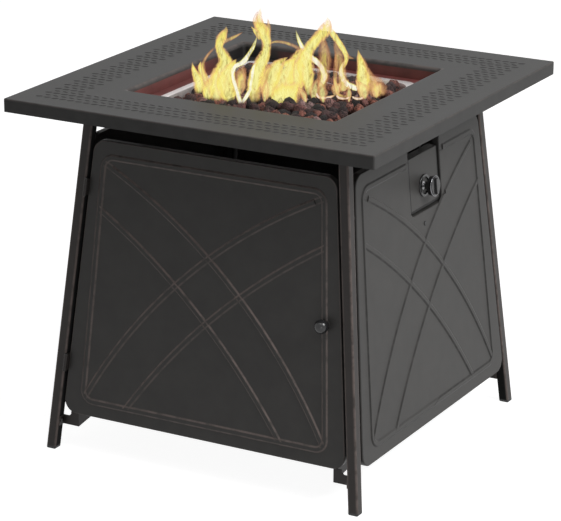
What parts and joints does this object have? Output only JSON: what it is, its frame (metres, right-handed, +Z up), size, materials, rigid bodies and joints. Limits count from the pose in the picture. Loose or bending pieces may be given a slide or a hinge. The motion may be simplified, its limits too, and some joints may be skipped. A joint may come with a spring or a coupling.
{
  "type": "square propane fire pit table",
  "caption": "Square fire pit table on slanted legs: embossed metal top with a sunken lava-rock burner and flames, ribbed side panels, a hinged front door and a side gas control knob",
  "frame": {"origin": "middle of the footprint on the floor, on the plane of the foot soles", "axes": "Z up, -Y out of the side with the door, +X out of the side with the gas control"},
  "size_m": [0.7112, 0.7112, 0.784],
  "materials": {
    "black_top": "semi-gloss hammered black paint",
    "bronze_legs": "satin dark bronze powder coat",
    "bronze_panels": "satin dark bronze powder coat",
    "well_paint": "heat-stained black paint",
    "stainless": "bright stainless sheet",
    "zinc_steel": "zinc-plated",
    "black_screws": "blackened steel",
    "chrome": "polished",
    "knob_black": "gloss black",
    "black_plastic": "matte black",
    "lead_rubber": "black insulated wire",
    "copper_lead": "bare copper",
    "brass": "machined brass",
    "valve_casting": "cast and drawn aluminium",
    "white_ceramic": "white insulator",
    "lava": "rough dark lava rock",
    "flame": "glowing yellow gas flame"
  },
  "bodies": {
    "table": {"air_mixer": "zinc_steel", "bottom_shelf": "bronze_panels", "bracket_screws": "black_screws", "burner": "stainless", "burner_locknut": "zinc_steel", "burner_pan": "stainless", "control_hanger": "bronze_panels", "control_plate": "bronze_panels", "corner_brackets": "bronze_legs", "door_catch": "black_plastic", "fire_well": "well_paint", "flames": "flame", "foot_caps": "black_plastic", "gas_inlet": "brass", "gas_pipe": "valve_casting", "gas_valve": "valve_casting", "hanger_screws": "black_screws", "hinge_leaves_leg": "bronze_legs", "hinge_pins": "zinc_steel", "hinge_rivets_leg": "black_screws", "injector": "brass", "knob_bezel": "knob_black", "lava_rocks": "lava", "leg_front_left": "bronze_legs", "leg_front_right": "bronze_legs", "leg_rear_left": "bronze_legs", "leg_rear_right": "bronze_legs", "panel_left": "bronze_panels", "panel_rear": "bronze_panels", "panel_right": "bronze_panels", "panel_screws": "black_screws", "panel_spacers": "black_plastic", "rail_front": "bronze_legs", "rail_left": "bronze_legs", "rail_rear": "bronze_legs", "rail_right": "bronze_legs", "sensor_bracket": "stainless", "shelf_screws": "black_screws", "spark_electrode": "white_ceramic", "spark_lead": "lead_rubber", "table_top": "black_top", "thermocouple": "stainless", "thermocouple_lead": "copper_lead", "top_nuts": "zinc_steel", "valve_screws": "black_screws", "well_nuts": "zinc_steel"},
    "door": {"door_panel": "bronze_panels", "door_knob": "knob_black", "door_knob_screw": "black_screws", "hinge_leaves_door": "bronze_legs", "hinge_rivets_door": "black_screws", "door_strike": "zinc_steel"},
    "plunger": {"valve_plunger": "zinc_steel"},
    "knob": {"valve_stem": "zinc_steel", "knob_neck": "black_plastic", "control_knob": "knob_black", "knob_trim": "chrome"},
    "cylinder_screw": {"tank_screw": "zinc_steel"}
  },
  "joints": [
    {"name": "door_hinge", "type": "hinge", "parent": "table", "child": "door", "pos_m": [-0.26265, -0.28695, 0.317], "axis": [-0.0921, -0.0921, -0.9915], "range_deg": [0, 115]},
    {"name": "knob_push", "type": "slide", "parent": "table", "child": "plunger", "axis": [-0.9957, 0, -0.0925], "range_m": [0, 0.004], "stiffness_N_per_m": 600, "springref_m": -0.004},
    {"name": "knob_turn", "type": "hinge", "parent": "plunger", "child": "knob", "pos_m": [0.26808, 0.015, 0.49], "axis": [0.9957, 0, 0.0925], "range_deg": [-90, 60], "deforming": ["flames"]},
    {"name": "cylinder_clamp", "type": "slide", "parent": "table", "child": "cylinder_screw", "axis": [0, 1, 0], "range_m": [0, 0.015]}
  ]
}
